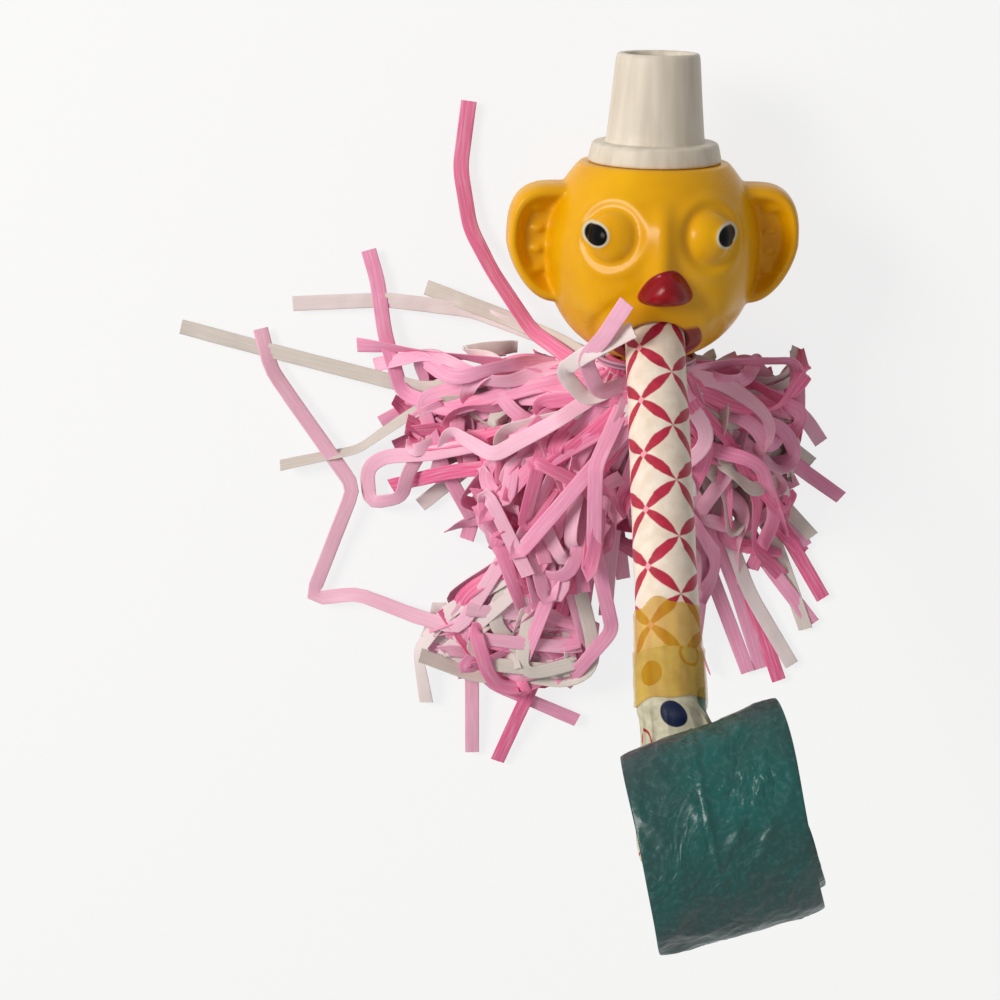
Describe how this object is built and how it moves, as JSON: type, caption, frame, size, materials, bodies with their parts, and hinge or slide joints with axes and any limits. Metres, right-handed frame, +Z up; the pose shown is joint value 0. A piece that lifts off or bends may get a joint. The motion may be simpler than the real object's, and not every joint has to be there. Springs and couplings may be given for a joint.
{
  "type": "party horn blower",
  "caption": "Party horn blower: hollow moulded clown head with a hat mouthpiece, ribbon ruff, paper tube in its mouth and a rolled paper bag that unrolls when blown.",
  "frame": {"origin": "centre of the small flat at the back of the head, on the table, with the blower lying on its back", "axes": "+Y along the hat's bore and out of it, +Z up, the way the face looks, +X to the viewer's right"},
  "size_m": [0.1332, 0.1412, 0.1115],
  "materials": {
    "yellow_plastic": "gloss",
    "white_plastic": "satin",
    "reed_plastic": "matte",
    "reed_brass": "satin",
    "tube_card": "matte",
    "lattice_paper": "satin",
    "yellow_tissue": "satin",
    "dotted_paper": "matte",
    "teal_paper": "satin",
    "spring_steel": "satin",
    "binding_thread": "matte",
    "pink_ribbon": "satin",
    "white_ribbon": "satin"
  },
  "bodies": {
    "blower": {"head_front": "yellow_plastic", "head_rear": "yellow_plastic", "hat_mouthpiece": "white_plastic", "reed_body": "reed_plastic", "reed_wedge": "reed_plastic", "tube_core": "tube_card", "tube_wrap": "lattice_paper", "tape_band": "yellow_tissue", "bag_cuff": "dotted_paper", "bag_lead": "teal_paper", "recoil_spring": "spring_steel", "neck_tie": "binding_thread", "fringe_left_under": "pink_ribbon", "fringe_left_lower": "white_ribbon", "fringe_left_upper": "pink_ribbon", "fringe_left_top": "pink_ribbon", "fringe_chin_under": "pink_ribbon", "fringe_chin_top": "pink_ribbon", "fringe_right_under": "white_ribbon", "fringe_right_lower": "pink_ribbon", "fringe_right_upper": "white_ribbon", "fringe_right_top": "pink_ribbon"},
    "roll_outer": {"bag_outer_turn": "teal_paper"},
    "roll_inner": {"bag_inner_turns": "teal_paper", "bag_end_fold": "dotted_paper"},
    "reed_tongue": {"reed_tongue": "reed_brass"}
  },
  "joints": [
    {"name": "bag_unroll", "type": "slide", "parent": "blower", "child": "roll_outer", "axis": [0.2924, -0.7107, 0.6399], "range_m": [0, 0.184], "stiffness_N_per_m": 0.5, "springref_m": -0.03, "deforming": ["bag_lead", "recoil_spring", "bag_inner_turns", "bag_end_fold"]},
    {"name": "roll_turn", "type": "hinge", "parent": "roll_outer", "child": "roll_inner", "pos_m": [0.00451, -0.07125, 0.09864], "axis": [0.9387, 0.341, -0.0502], "range_deg": [0, 1080]},
    {"name": "reed_buzz", "type": "hinge", "parent": "blower", "child": "reed_tongue", "pos_m": [0, 0.0162, 0.01815], "axis": [-1, 0, 0], "range_deg": [0, 3], "stiffness_Nm_per_rad": 0.002}
  ],
  "couplings": [
    {"joint": "roll_turn", "follows": "bag_unroll", "rad_per_m": 102.33}
  ]
}
